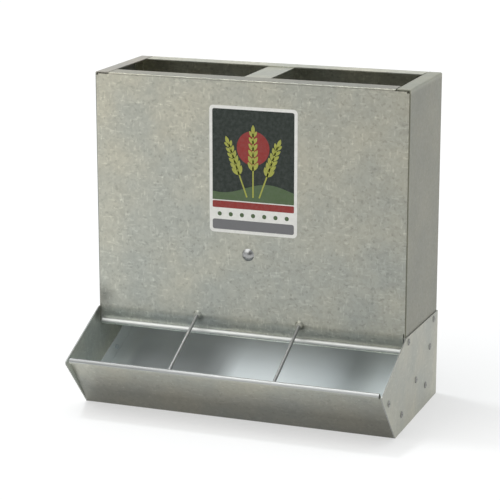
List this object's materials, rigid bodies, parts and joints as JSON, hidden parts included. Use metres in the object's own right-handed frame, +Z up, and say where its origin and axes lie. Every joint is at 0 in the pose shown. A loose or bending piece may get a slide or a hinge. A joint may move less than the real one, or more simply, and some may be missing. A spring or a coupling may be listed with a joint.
{
  "type": "pig feeder",
  "caption": "Galvanised sheet-steel gravity feeder: open-topped hopper over a forward trough parted by wires, with a clamped sliding feed gate inside.",
  "frame": {"origin": "on the ground under the middle of the feeder's box", "axes": "+Z up, -Y the way the trough reaches forward, +X to the right seen from the front"},
  "size_m": [0.31, 0.184, 0.314],
  "materials": {
    "galvanised_sheet": "satin, spangled zinc",
    "bright_steel": "bright zinc plate",
    "dull_rivet": "dull",
    "label_film": "printed satin film"
  },
  "bodies": {
    "feeder": {"front_panel": "galvanised_sheet", "back_panel": "galvanised_sheet", "left_side_panel": "galvanised_sheet", "right_side_panel": "galvanised_sheet", "top_strap": "galvanised_sheet", "left_end_plate": "galvanised_sheet", "right_end_plate": "galvanised_sheet", "trough_pan": "galvanised_sheet", "floor_brace": "galvanised_sheet", "left_divider_wire": "bright_steel", "right_divider_wire": "bright_steel", "gate_spacer": "bright_steel", "clamp_bolt": "bright_steel", "clamp_washer": "bright_steel", "strap_rivets": "galvanised_sheet", "left_end_rivets": "dull_rivet", "right_end_rivets": "dull_rivet"},
    "gate": {"feed_gate": "galvanised_sheet"},
    "hand_nut": {"wing_nut": "bright_steel"}
  },
  "joints": [
    {"name": "gate_slide", "type": "slide", "parent": "feeder", "child": "gate", "axis": [0, 0, 1], "range_m": [-0.032, 0]},
    {"name": "nut_turn", "type": "hinge", "parent": "feeder", "child": "hand_nut", "pos_m": [0, -0.0086, 0.1504], "axis": [0, 1, 0], "range_deg": [0, 360]}
  ]
}
